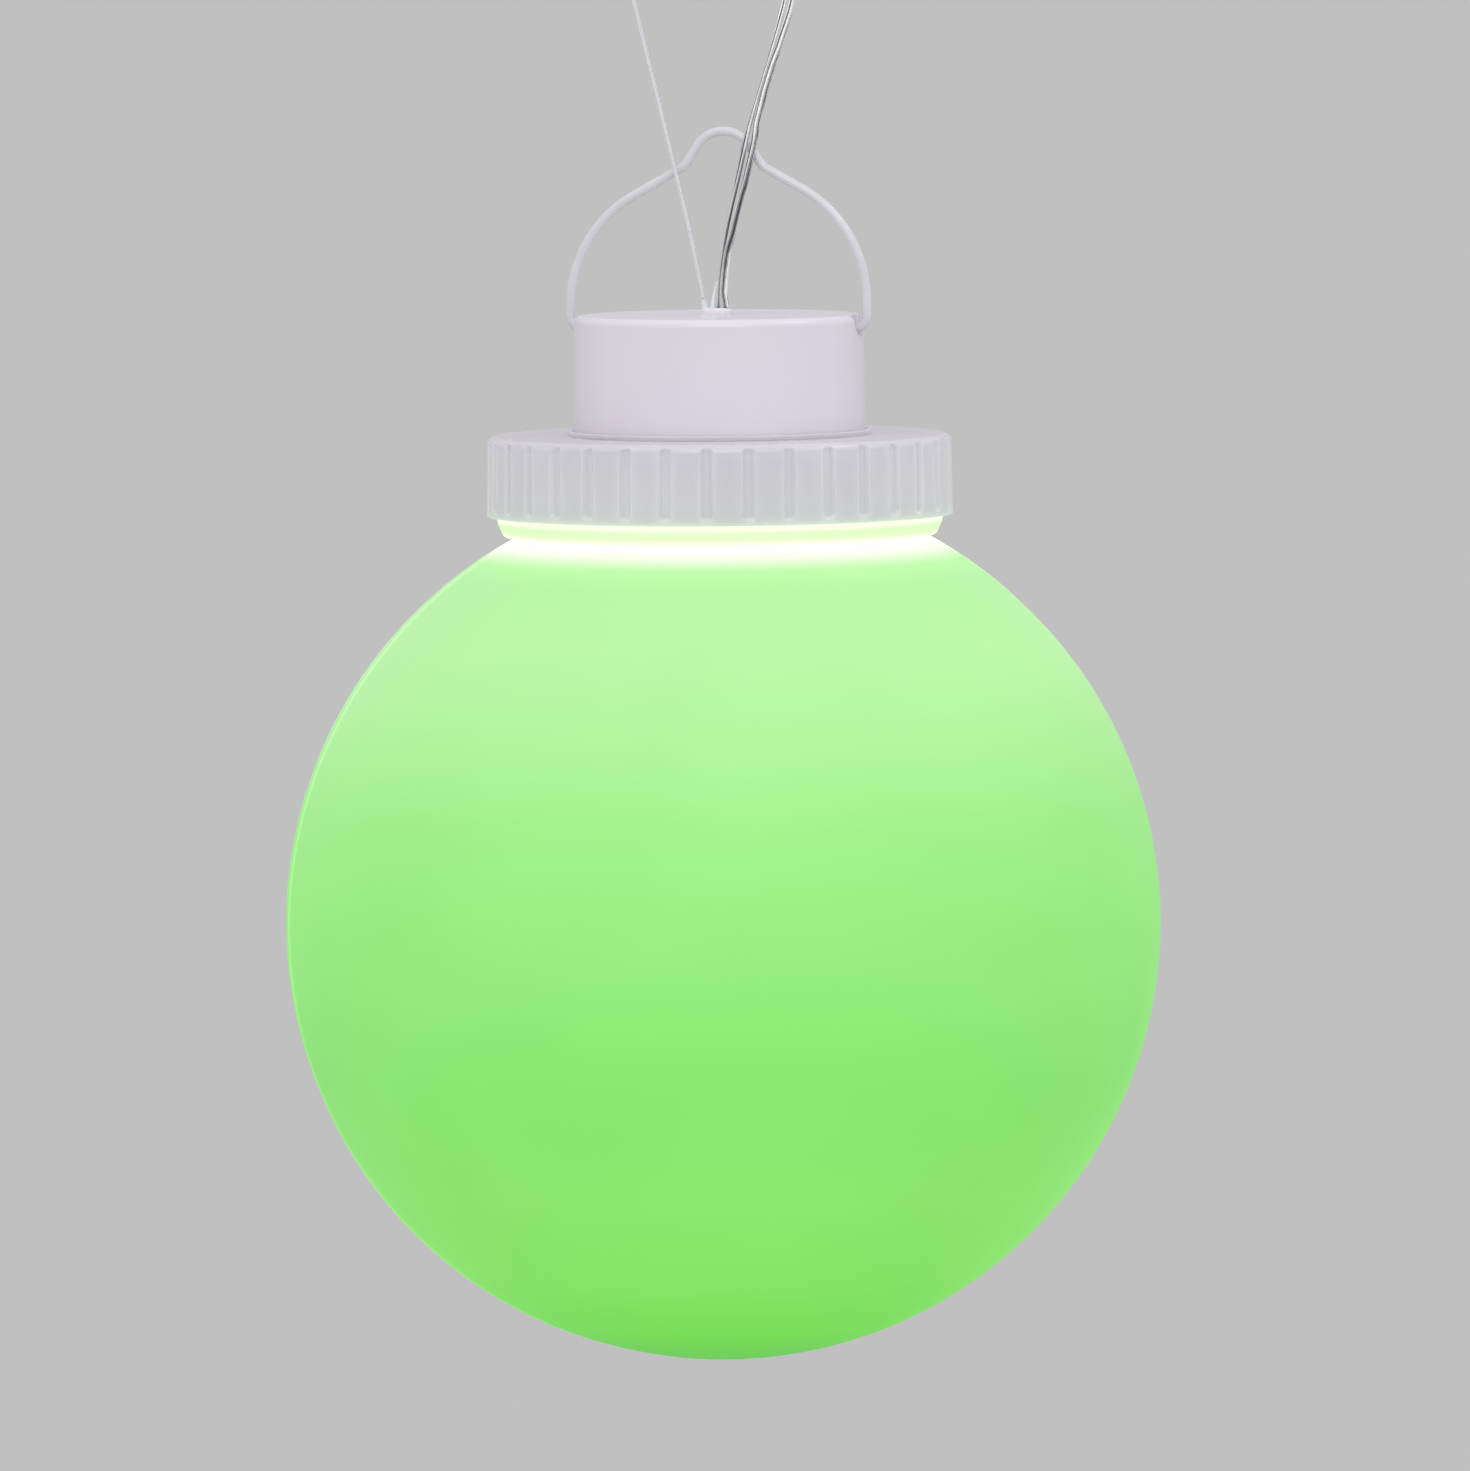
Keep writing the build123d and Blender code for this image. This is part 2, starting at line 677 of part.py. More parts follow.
# ---- cord clamp and its screws ----
clamp_bar_under = lead_level - lead_wall / 2 - clamp_bar_wall
with BuildPart() as cord_clamp:
    with BuildSketch(lead_plane(clamp_bar_under)):
        with Locations((0, clamp_spot)):
            RectangleRounded(clamp_block_length, clamp_block_depth, clamp_bar_round)
    extrude(amount=clamp_bar_wall)
    with BuildSketch(Plane.XY.offset(clamp_bar_under)):
        with Locations(*clamp_screw_spots):
            Circle(pilot_radius)
    extrude(amount=clamp_bar_wall, mode=Mode.SUBTRACT)
save(cord_clamp, "cord_clamp")
clamp_screw_length = clamp_bar_wall + lead_wall + clamp_screw_bite - screw_tip_gap
clamp_screws = screw(clamp_bar_under - screw_head_height, clamp_screw_length, clamp_screw_spots)
save(clamp_screws, "clamp_screws")

# ---- carrier plate with its seal groove ----
with BuildPart() as led_carrier:
    with BuildSketch(Plane.XY.offset(carrier_under)):
        Circle(carrier_radius)
        Circle(wire_hole_radius, mode=Mode.SUBTRACT)
        with Locations(*long_posts, *cover_screw_spots):
            Circle(pilot_radius, mode=Mode.SUBTRACT)
    extrude(amount=carrier_wall)
    with BuildSketch(Plane.XY.offset(carrier_under)):
        Circle(seal_radius + seal_width / 2 + seal_play)
        Circle(seal_radius - seal_width / 2 - seal_play, mode=Mode.SUBTRACT)
    extrude(amount=seal_height, mode=Mode.SUBTRACT)
    with BuildSketch(Plane.XY.offset(carrier_under)):
        with Locations(*light_screw_spots):
            Circle(pilot_radius)
    extrude(amount=light_screw_bite, mode=Mode.SUBTRACT)
save(led_carrier, "led_carrier")
carrier_screws = screw(carrier_under - screw_head_height, carrier_wall + screw_length, long_posts)
save(carrier_screws, "carrier_screws")

# ---- light board with its diodes, screws and wires ----
with BuildPart() as led_board:
    with BuildSketch(Plane.XY.offset(light_board_under)):
        Circle(light_board_radius)
        Circle(wire_hole_radius, mode=Mode.SUBTRACT)
        with Locations(*light_screw_spots):
            Circle(pilot_radius, mode=Mode.SUBTRACT)
    extrude(amount=light_board_wall)
save(led_board, "led_board")
light_screw_length = light_board_wall + light_screw_bite - screw_tip_gap
led_board_screws = screw(light_board_under - screw_head_height, light_screw_length, light_screw_spots)
save(led_board_screws, "led_board_screws")

with BuildPart() as one_chip:
    with BuildSketch(Plane.XY.offset(light_board_under)):
        with Locations((chip_circle, 0)):
            Rectangle(chip_side, chip_side)
    extrude(amount=-chip_height)
    with BuildSketch(Plane.XY.offset(light_board_under - chip_height)):
        with Locations((chip_circle, 0)):
            Circle(chip_window)
    extrude(amount=chip_window_depth, mode=Mode.SUBTRACT)
with BuildPart() as led_chips:
    with PolarLocations(0, chip_count):
        add(one_chip.part)
save(led_chips, "led_chips")

wire_level = light_board_under - wire_radius
with BuildPart() as led_wires:
    for side in (-1, 1):
        with BuildLine():
            FilletPolyline(
                (side * wire_spread, 0, board_under),
                (side * wire_spread, 0, wire_level),
                (side * wire_end, 0, wire_level),
                radius=wire_bend,
            )
        with BuildSketch(Plane(origin=(side * wire_spread, 0, board_under), z_dir=(0, 0, -1))):
            Circle(wire_radius)
        sweep()
save(led_wires, "led_wires")

# ---- lens: clear dish with a flat rim, its seal and screws ----
with BuildPart() as lens_cover:
    with BuildSketch(Plane.XZ):
        with BuildLine() as lens_outline:
            Polyline(
                (0, carrier_under - lens_depth),
                (lens_radius, carrier_under - lens_depth),
                (lens_radius, lens_rim_under),
                (carrier_radius, lens_rim_under),
                (carrier_radius, carrier_under),
                (lens_radius - lens_wall, carrier_under),
                (lens_radius - lens_wall, carrier_under - lens_depth + lens_wall),
                (0, carrier_under - lens_depth + lens_wall),
                close=True,
            )
        make_face()
        lens_corner = (lens_radius, carrier_under - lens_depth)
        fillet(lens_outline.vertices().sort_by_distance(lens_corner)[0], lens_round)
        inner_corner = (lens_radius - lens_wall, carrier_under - lens_depth + lens_wall)
        fillet(lens_outline.vertices().sort_by_distance(inner_corner)[0], lens_round - lens_wall)
    revolve(axis=Axis.Z)
    with BuildSketch(Plane.XY.offset(lens_rim_under)):
        with Locations(*cover_screw_spots):
            Circle(pilot_radius)
    extrude(amount=lens_rim_wall, mode=Mode.SUBTRACT)
save(lens_cover, "lens_cover")
lens_seal = ring(seal_radius + seal_width / 2, seal_radius - seal_width / 2, carrier_under, seal_height)
save(lens_seal, "lens_seal")
cover_screw_length = lens_rim_wall + carrier_wall + cover_screw_bite - screw_tip_gap
cover_screws = screw(lens_rim_under - screw_head_height, cover_screw_length, cover_screw_spots)
save(cover_screws, "cover_screws")

neck_gasket = ring(neck_radius + gasket_margin, neck_bore + gasket_inset, gasket_under, gasket_wall)
save(neck_gasket, "neck_gasket")

# ---- driver board and what stands on it ----
with BuildPart() as driver_board:
    with BuildSketch(Plane.XY.offset(board_under)):
        Circle(board_radius)
        with Locations(*short_posts):
            Circle(pilot_radius, mode=Mode.SUBTRACT)
    extrude(amount=board_wall)
save(driver_board, "driver_board")
board_screws = screw(board_under - screw_head_height, board_wall + screw_length, short_posts)
save(board_screws, "board_screws")

with BuildPart() as terminal_block:
    with BuildSketch(lead_plane(board_top)):
        with Locations((0, terminal_spot)):
            Rectangle(terminal_length, terminal_depth)
    extrude(amount=terminal_height)
    with BuildSketch(lead_plane(terminal_top)):
        with Locations((0, terminal_spot + terminal_screw_offset)):
            with GridLocations(terminal_pitch, 0, 2, 1):
                Circle(terminal_screw)
    extrude(amount=-terminal_screw_depth, mode=Mode.SUBTRACT)
save(terminal_block, "terminal_block")

with BuildPart() as driver_choke:
    with BuildSketch(lead_plane(board_top)):
        with Locations(choke_spot):
            Circle(choke_radius)
    extrude(amount=choke_height)
    with BuildSketch(lead_plane(board_top + choke_cheek)):
        with Locations(choke_spot):
            Circle(choke_radius)
            Circle(choke_radius - choke_winding_inset, mode=Mode.SUBTRACT)
    extrude(amount=choke_height - 2 * choke_cheek, mode=Mode.SUBTRACT)
save(driver_choke, "driver_choke")

with BuildPart() as driver_capacitors:
    for spot, radius, height in capacitors:
        with BuildSketch(lead_plane(board_top)):
            with Locations(spot):
                Circle(radius)
        extrude(amount=height)
        with BuildSketch(lead_plane(board_top + capacitor_waist)):
            with Locations(spot):
                Circle(radius)
                Circle(radius - capacitor_crimp, mode=Mode.SUBTRACT)
        extrude(amount=2 * capacitor_crimp, mode=Mode.SUBTRACT)
save(driver_capacitors, "driver_capacitors")


def board_part(spot, size):
    """A boxed component on the driver board."""
    with BuildPart() as made:
        with BuildSketch(lead_plane(board_top)):
            with Locations(spot):
                Rectangle(size[0], size[1])
        extrude(amount=size[2])
        chamfer(made.edges().group_by(Axis.Z)[-1], component_chamfer)
    return made


save(board_part(rectifier_spot, rectifier_size), "bridge_rectifier")
save(board_part(driver_chip_spot, driver_chip_size), "driver_chip")

# ---- the lead's plug: moulded body with a tapered relief, barrel and insulator ----
lead_end = Vector(*lead_points[-1])
plug_axis = Axis(lead_end, (0, 0, 1))
plug_side = Plane(origin=lead_end, x_dir=(1, 0, 0), z_dir=(0, -1, 0))
plug_top = relief_length + plug_length
with BuildPart() as lead_connector:
    with BuildSketch(plug_side):
        with BuildLine() as plug_outline:
            Polyline(
                (0, 0),
                (relief_tip, 0),
                (relief_tip + relief_taper, relief_length),
                (plug_radius, relief_length),
                (plug_radius, plug_top),
                (0, plug_top),
                close=True,
            )
        make_face()
        for corner in ((plug_radius, relief_length), (plug_radius, plug_top)):
            fillet(plug_outline.vertices().sort_by_distance(corner)[0], plug_edge)
    revolve(axis=plug_axis)
    for grip in range(plug_grips):
        grip_height = relief_length + 2 * plug_edge + grip * plug_grip_pitch
        with BuildSketch(Plane(origin=lead_end + Vector(0, 0, grip_height))):
            Circle(plug_radius)
            Circle(plug_radius - plug_grip_depth, mode=Mode.SUBTRACT)
        extrude(amount=plug_grip_width, mode=Mode.SUBTRACT)
    with BuildSketch(Plane(origin=lead_end + Vector(0, 0, plug_top - barrel_root))):
        Circle(barrel_radius - barrel_root_step + snug)
    extrude(amount=barrel_root, mode=Mode.SUBTRACT)
save(lead_connector, "lead_connector")

barrel_foot = Plane(origin=lead_end + Vector(0, 0, plug_top - barrel_root))
barrel_bore = barrel_radius - barrel_root_step - barrel_wall
with BuildPart() as connector_barrel:
    with BuildSketch(barrel_foot):
        Circle(barrel_radius - barrel_root_step)
        Circle(barrel_bore, mode=Mode.SUBTRACT)
    extrude(amount=barrel_root)
    with BuildSketch(barrel_foot.offset(barrel_root)):
        Circle(barrel_radius)
        Circle(barrel_bore, mode=Mode.SUBTRACT)
    extrude(amount=barrel_length)
save(connector_barrel, "connector_barrel")

with BuildPart() as connector_insulator:
    with BuildSketch(barrel_foot):
        Circle(barrel_bore - snug)
        Circle(centre_bore, mode=Mode.SUBTRACT)
    extrude(amount=barrel_root + barrel_length - insulator_set_back)
save(connector_insulator, "connector_insulator")
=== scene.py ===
import math

import bmesh
import bpy
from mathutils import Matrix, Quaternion, Vector


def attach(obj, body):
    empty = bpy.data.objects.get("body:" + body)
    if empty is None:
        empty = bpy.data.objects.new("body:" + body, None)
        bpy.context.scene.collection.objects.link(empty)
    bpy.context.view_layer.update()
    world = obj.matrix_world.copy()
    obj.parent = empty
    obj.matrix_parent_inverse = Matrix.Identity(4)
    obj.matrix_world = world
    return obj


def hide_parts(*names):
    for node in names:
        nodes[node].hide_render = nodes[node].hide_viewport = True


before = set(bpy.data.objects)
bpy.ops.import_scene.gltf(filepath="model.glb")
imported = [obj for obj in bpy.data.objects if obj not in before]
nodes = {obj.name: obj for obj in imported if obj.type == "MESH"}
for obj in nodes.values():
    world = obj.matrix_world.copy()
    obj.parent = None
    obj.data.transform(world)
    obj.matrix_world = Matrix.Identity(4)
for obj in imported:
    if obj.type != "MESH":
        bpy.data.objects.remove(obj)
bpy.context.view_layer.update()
scene = bpy.context.scene


def in_scene(name, data):
    """A new object of the scene with this data."""
    made = bpy.data.objects.new(name, data)
    scene.collection.objects.link(made)
    return made


def seen_at(azimuth, elevation):
    """The direction from the light to a viewer, whose azimuth is counted from the -Y side."""
    return Vector((
        math.sin(azimuth) * math.cos(elevation),
        -math.cos(azimuth) * math.cos(elevation),
        math.sin(elevation),
    ))


# ------------------------------------------------------------------ camera
# Fitted to the photo.
AZIMUTH = math.radians(13.0)
PITCH = math.radians(4.03)
ROLL = math.radians(-0.47)
DISTANCE = 2.95
SENSOR_WIDTH = 36       # in millimetres
VIEW_WIDTH = 0.3362     # what the picture spans at the light
CLIP_END = 50
MIDDLE_HEIGHT, MIDDLE_ASIDE = -0.1370, 0.0030   # the picture's middle, from the origin

right = Vector((math.cos(AZIMUTH), math.sin(AZIMUTH), 0))
back = seen_at(AZIMUTH, PITCH)
camera = in_scene("camera", bpy.data.cameras.new("camera"))
camera.data.lens = SENSOR_WIDTH * DISTANCE / VIEW_WIDTH
camera.data.clip_end = CLIP_END
camera.location = Vector((0, 0, MIDDLE_HEIGHT)) + right * MIDDLE_ASIDE + back * DISTANCE
camera.rotation_mode = "QUATERNION"
camera.rotation_quaternion = (-back).to_track_quat("-Z", "Y") @ Quaternion((0, 0, 1), ROLL)
scene.camera = camera


# ------------------------------------------------------------------ materials
# A Mix node has several sockets of each name: these are the ones for colours.
MIX_LOW, MIX_HIGH, MIX_RESULT = 6, 7, 2
UPWARD = 2                  # the third part of a vector
NOISE_MIDDLE = (0.3, 0.7)   # the range in which most of a noise lies


class Tree:
    """A node tree, with the kinds of node that this file adds to one."""

    def __init__(self, tree):
        self.tree = tree

    def add(self, kind, **values):
        node = self.tree.nodes.new(kind)
        for key, value in values.items():
            setattr(node, key, value)
        return node

    def link(self, out, to):
        self.tree.links.new(out, to)

    def feed(self, value, socket):
        """Gives a socket a number, a colour or another node's output."""
        if isinstance(value, (int, float)):
            socket.default_value = value
        elif isinstance(value, tuple):
            socket.default_value = (*value, 1)
        else:
            self.link(value, socket)

    def calculate(self, operation, a, b):
        node = self.add("ShaderNodeMath", operation=operation)
        for socket, value in zip(node.inputs, (a, b)):
            self.feed(value, socket)
        return node.outputs[0]

    def mixed_shaders(self, share, low, high):
        """One shader goes over to another with a share."""
        node = self.add("ShaderNodeMixShader")
        self.link(share, node.inputs["Fac"])
        self.link(low, node.inputs[1])
        self.link(high, node.inputs[2])
        return node.outputs[0]


class Paint(Tree):
    """A Principled material with its procedural detail."""

    def __init__(self, name, base, rough, **sockets):
        self.mat = bpy.data.materials.new(name)
        self.mat.use_nodes = True
        self.mat.diffuse_color = (*base, 1)
        super().__init__(self.mat.node_tree)
        self.base = base
        self.shader = self.tree.nodes["Principled BSDF"]
        self.shader.inputs["Base Color"].default_value = (*base, 1)
        self.shader.inputs["Roughness"].default_value = rough
        for key, value in sockets.items():
            self.shader.inputs[key.replace("_", " ")].default_value = value
        self.place = self.add("ShaderNodeTexCoord").outputs["Object"]

    def noise(self, scale, detail, stretch=(1, 1, 1)):
        mapping = self.add("ShaderNodeMapping")
        mapping.inputs["Scale"].default_value = stretch
        self.link(self.place, mapping.inputs["Vector"])
        node = self.add("ShaderNodeTexNoise")
        node.inputs["Scale"].default_value = scale
        node.inputs["Detail"].default_value = detail
        self.link(mapping.outputs[0], node.inputs["Vector"])
        return node.outputs["Fac"]

    def ramp(self, fac, stops):
        """Colours along a value, straight from stop to stop."""
        node = self.add("ShaderNodeValToRGB")
        elements = node.color_ramp.elements
        while len(elements) < len(stops):
            elements.new(0.5)
        for element, (at, colour) in zip(elements, stops):
            element.position = at
            element.color = (*colour, 1)
        self.link(fac, node.inputs["Fac"])
        return node.outputs["Color"]

    def between(self, fac, low, high, to_low=0.0, to_high=1.0):
        """A value carried over from one range to another, and kept within it."""
        node = self.add("ShaderNodeMapRange")
        sockets = ("From Min", "From Max", "To Min", "To Max")
        for socket, value in zip(sockets, (low, high, to_low, to_high)):
            node.inputs[socket].default_value = value
        self.link(fac, node.inputs["Value"])
        return node.outputs["Result"]

    def upward(self, vector):
        """The part of a vector that points up."""
        split = self.add("ShaderNodeSeparateXYZ")
        self.link(vector, split.inputs[0])
        return split.outputs[UPWARD]

    def height(self):
        """How high the point is on the piece, in metres."""
        return self.upward(self.place)

    def facing(self):
        """How far the surface faces up, from -1 to 1."""
        return self.upward(self.add("ShaderNodeNewGeometry").outputs["Normal"])

    def reach(self):
        """How far the point is from the light's upright axis, in metres."""
        flat = self.add("ShaderNodeVectorMath", operation="MULTIPLY")
        flat.inputs[1].default_value = (1, 1, 0)
        self.link(self.place, flat.inputs[0])
        length = self.add("ShaderNodeVectorMath", operation="LENGTH")
        self.link(flat.outputs[0], length.inputs[0])
        return length.outputs["Value"]

    def mottle(self, scale, amount, stretch=(1, 1, 1)):
        """Slow colour variation about the base colour."""
        low = [c * (1 - amount) for c in self.base]
        high = [min(1, c * (1 + amount)) for c in self.base]
        colour = self.ramp(self.noise(scale, 3.0, stretch), list(zip(NOISE_MIDDLE, (low, high))))
        self.link(colour, self.shader.inputs["Base Color"])
        return colour

    def uneven_gloss(self, scale, low, high, stretch):
        fac = self.between(self.noise(scale, 2.0, stretch), *NOISE_MIDDLE, low, high)
        self.link(fac, self.shader.inputs["Roughness"])

    def grain(self, scale, detail, depth, strength):
        """Fine unevenness of the surface."""
        node = self.add("ShaderNodeBump")
        node.inputs["Distance"].default_value = depth
        node.inputs["Strength"].default_value = strength
        self.link(self.noise(scale, detail), node.inputs["Height"])
        self.link(node.outputs["Normal"], self.shader.inputs["Normal"])

    def mixed(self, share, low, high):
        """The base colour goes over from one colour to another with a share."""
        node = self.add("ShaderNodeMix", data_type="RGBA")
        self.link(share, node.inputs["Factor"])
        self.feed(low, node.inputs[MIX_LOW])
        self.feed(high, node.inputs[MIX_HIGH])
        self.link(node.outputs[MIX_RESULT], self.shader.inputs["Base Color"])

    def glow(self, colour, strength):
        """Light of the surface's own."""
        self.link(colour, self.shader.inputs["Emission Color"])
        self.feed(strength, self.shader.inputs["Emission Strength"])


def dress(node, paint):
    """Gives a carried-over CAD node its material."""
    mesh = nodes[node].data
    mesh.materials.clear()
    mesh.materials.append(paint.mat)


def plain(name, base, rough, scale, amount, *dressed, **sockets):
    """A mottled paint, with the scale and amount of its mottle, on the CAD nodes named."""
    paint = Paint(name, base, rough, **sockets)
    paint.mottle(scale, amount)
    for node in dressed:
        dress(node, paint)
    return paint


# The globe is lit from within. Its glow changes with height: each stop is a share of the
# height from the globe's foot to where the collar hides it.
GLOBE_FOOT, GLOBE_HIDDEN = -0.2798, -0.0866
BEAD_PAINTED_LIGHT = (-0.0932, -0.0916)      # the base colour goes over to a paler, painted-light one between these heights
NECK_SHADED = (-0.0866, -0.0862)    # and the glow falls to the neck's between these
NECK_GLOW = 0.4
WALL_UNEVEN = 0.035
WALL_NOISE = (0.35, 0.65)
SEAM_HIGHLIGHT_GLOW = 1.35
GLOBE_GLOW = [
    (0.00, (0.03, 0.31, 0.01)),
    (0.05, (0.09, 0.45, 0.03)),
    (0.12, (0.15, 0.49, 0.075)),
    (0.22, (0.175, 0.49, 0.105)),
    (0.36, (0.16, 0.45, 0.115)),
    (0.55, (0.20, 0.46, 0.155)),
    (0.66, (0.24, 0.455, 0.195)),
    (0.74, (0.305, 0.478, 0.255)),
    (0.80, (0.35, 0.492, 0.30)),
    (0.86, (0.372, 0.498, 0.322)),
    (0.93, (0.358, 0.49, 0.315)),
    (0.95, (0.40, 0.55, 0.34)),
    (0.965, (0.85, 0.87, 0.79)),
    (0.975, (0.75, 0.85, 0.68)),
    (0.985, (0.39, 0.54, 0.30)),
    (0.993, (0.39, 0.54, 0.30)),
    (0.997, (0.70, 0.82, 0.64)),
]


def globe_paint(name, strength):
    """The globe's green, with a glow of the strength given."""
    paint = Paint(name, (0.105, 0.40, 0.055), 0.45, Specular_IOR_Level=0.12)
    height = paint.height()
    bead_painted_light = paint.between(height, *BEAD_PAINTED_LIGHT)
    # Painted light: the bead and neck are of the same green plastic; their paler base colour stands
    # for the globe's light showing brighter there.
    paint.mixed(bead_painted_light, paint.mottle(9, 0.04), (0.48, 0.62, 0.36))
    glow = paint.ramp(paint.between(height, GLOBE_FOOT, GLOBE_HIDDEN), GLOBE_GLOW)
    bright, dim = strength * (1 + WALL_UNEVEN), strength * (1 - WALL_UNEVEN)
    uneven_wall = paint.between(paint.noise(13, 2.0), *WALL_NOISE, bright, dim)
    shaded_neck = paint.between(height, *NECK_SHADED, 1.0, NECK_GLOW)
    paint.glow(glow, paint.calculate("MULTIPLY", uneven_wall, shaded_neck))
    paint.grain(70, 2.0, 0.0004, 0.15)
    return paint


green = globe_paint("globe_green", 1.0)
# A brighter copy of the globe's paint for its parting line: a painted highlight along the ridge.
seam_highlight = globe_paint("globe_parting_line_highlight", SEAM_HIGHLIGHT_GLOW)
dress("globe_shell", green)

# The collar lets a little of the globe's light through: greenish at its foot, and more of
# it at the floors of its flutes, where its wall is thinner.
COLLAR_FOOT, COLLAR_TOP = -0.0863, -0.0669
FLUTE_FLOOR, COLLAR_WALL = 0.05225, 0.0529      # radii
FLUTE_GLOW = 1.3
collar_white = Paint(
    "collar_white",
    (0.49, 0.48, 0.515),
    0.24,
    Subsurface_Weight=0.8,
    Subsurface_Scale=0.006,
    Subsurface_Radius=(1.0, 1.0, 1.0),
)
collar_glow = collar_white.ramp(
    collar_white.between(collar_white.height(), COLLAR_FOOT, COLLAR_TOP),
    [
        (0.0, (0.105, 0.15, 0.095)),
        (0.10, (0.125, 0.14, 0.125)),
        (0.3, (0.14, 0.14, 0.145)),
        (0.8, (0.135, 0.13, 0.145)),
        (0.92, (0.055, 0.045, 0.06)),
    ],
)
thin_wall = collar_white.between(collar_white.reach(), FLUTE_FLOOR, COLLAR_WALL, FLUTE_GLOW, 1.0)
collar_white.glow(collar_glow, thin_wall)
collar_white.mottle(45, 0.03)
collar_white.grain(260, 2.0, 0.0002, 0.2)
dress("screw_collar", collar_white)

housing_white = plain("housing_white", (0.69, 0.65, 0.73), 0.25, 30, 0.02, "cap_housing")
housing_white.grain(420, 2.0, 0.0001, 0.25)

bail_white = plain("bail_white", (0.62, 0.61, 0.655), 0.18, 120, 0.03, "bail")
bail_white.grain(300, 1.0, 0.00005, 0.05)

silicone = plain(
    "silicone_white", (0.74, 0.72, 0.76), 0.45, 400, 0.03, "cable_gland", "cord_clamp",
    Subsurface_Weight=0.2, Subsurface_Scale=0.002,
)
string_white = plain(
    "string_white", (0.67, 0.67, 0.70), 0.7, 2500, 0.06, "string_anchor", "string_loop",
)
plain(
    "screw_steel", (0.60, 0.60, 0.62), 0.3, 600, 0.08, "anchor_washer", "clamp_screws",
    "board_screws", "carrier_screws", "led_board_screws", "cover_screws", Metallic=1.0,
)
plain("board_green", (0.03, 0.17, 0.06), 0.35, 220, 0.2, "driver_board")
plain("board_white", (0.78, 0.78, 0.78), 0.4, 200, 0.03, "led_board")
plain("part_black", (0.022, 0.022, 0.025), 0.45, 500, 0.2, "bridge_rectifier", "driver_chip")

# Copper winding between the choke's two end plates.
WINDING_FOOT, WINDING_TOP = -0.06405, -0.05645
winding = Paint("choke_winding", (0.03, 0.03, 0.033), 0.4)
plates = winding.mottle(500, 0.2)
wire_turns = winding.ramp(
    winding.noise(60, 1.0, (1, 1, 40)), [(0.4, (0.30, 0.09, 0.03)), (0.6, (0.62, 0.24, 0.09))],
)
winding_height = winding.height()
over_foot = winding.calculate("GREATER_THAN", winding_height, WINDING_FOOT)
under_top = winding.calculate("LESS_THAN", winding_height, WINDING_TOP)
winding.mixed(winding.calculate("MULTIPLY", over_foot, under_top), plates, wire_turns)
dress("driver_choke", winding)

# Sleeved cans with bare tops.
FACES_UP = 0.9
can = Paint("capacitor_sleeve", (0.02, 0.03, 0.06), 0.35)
bare_top = can.calculate("GREATER_THAN", can.facing(), FACES_UP)
can.mixed(bare_top, can.mottle(500, 0.15), (0.62, 0.62, 0.64))
dress("driver_capacitors", can)

plain("terminal_green", (0.05, 0.30, 0.12), 0.4, 300, 0.08, "terminal_block")

aluminium = Paint("carrier_aluminium", (0.70, 0.70, 0.72), 0.35, Metallic=1.0)
aluminium.mottle(300, 0.05, stretch=(1, 12, 1))
dress("led_carrier", aluminium)

# White bodies with a phosphor window sunk in each.
FACES_DOWN = -0.5
WINDOW_FLOOR = -0.07815     # the windows lie above this height, the bodies' faces below it
diode = Paint("led_white", (0.82, 0.82, 0.80), 0.4)
faces_down = diode.calculate("LESS_THAN", diode.facing(), FACES_DOWN)
sunk = diode.calculate("GREATER_THAN", diode.height(), WINDOW_FLOOR)
window = diode.calculate("MULTIPLY", faces_down, sunk)
diode.mixed(window, diode.mottle(600, 0.04), (0.85, 0.70, 0.22))
dress("led_chips", diode)

plain("lens_clear", (0.92, 0.93, 0.94), 0.25, 80, 0.02, "lens_cover", Transmission_Weight=0.8)
plain("seal_black", (0.03, 0.03, 0.03), 0.6, 400, 0.2, "lens_seal")
plain("gasket_grey", (0.35, 0.35, 0.36), 0.6, 300, 0.1, "neck_gasket")
plain("wire_red", (0.5, 0.03, 0.02), 0.45, 500, 0.1, "led_wires")
plain("plug_grey", (0.56, 0.56, 0.59), 0.45, 200, 0.04, "lead_connector")
plain("barrel_nickel", (0.76, 0.74, 0.70), 0.18, 500, 0.04, "connector_barrel", Metallic=1.0)
plain("insulator_black", (0.015, 0.015, 0.015), 0.45, 500, 0.2, "connector_insulator")


# ------------------------------------------------------------------ lines and tubes
def route_line(name, points):
    """The smooth line that a cord follows: a NURBS spline with the route's points."""
    curve = bpy.data.curves.new(name, "CURVE")
    curve.dimensions = "3D"
    curve.resolution_u = 24
    spline = curve.splines.new("NURBS")
    spline.points.add(len(points) - 1)
    for point, at in zip(spline.points, points):
        point.co = (*at, 1)
    spline.order_u = 3
    spline.use_endpoint_u = True
    holder = in_scene(name, curve)
    bpy.context.view_layer.update()
    shaped = holder.evaluated_get(bpy.context.evaluated_depsgraph_get())
    mesh = bpy.data.meshes.new_from_object(shaped)
    line = [v.co.copy() for v in mesh.vertices]
    bpy.data.objects.remove(holder)
    bpy.data.meshes.remove(mesh)
    start = Vector(points[0])
    if (line[0] - start).length > (line[-1] - start).length:
        line.reverse()
    return line


def runs(line):
    """The length from each point of the line to the next."""
    return [(b - a).length for a, b in zip(line, line[1:])]


def evenly(line, step):
    """The line's points, respaced by arc length."""
    lengths = runs(line)
    total = sum(lengths)
    count = max(2, round(total / step))
    made, index, passed = [], 0, 0.0
    for k in range(count + 1):
        want = total * k / count
        while index < len(lengths) - 1 and passed + lengths[index] < want:
            passed += lengths[index]
            index += 1
        share = (want - passed) / lengths[index] if lengths[index] else 0
        made.append(line[index].lerp(line[index + 1], min(1, max(0, share))))
    return made


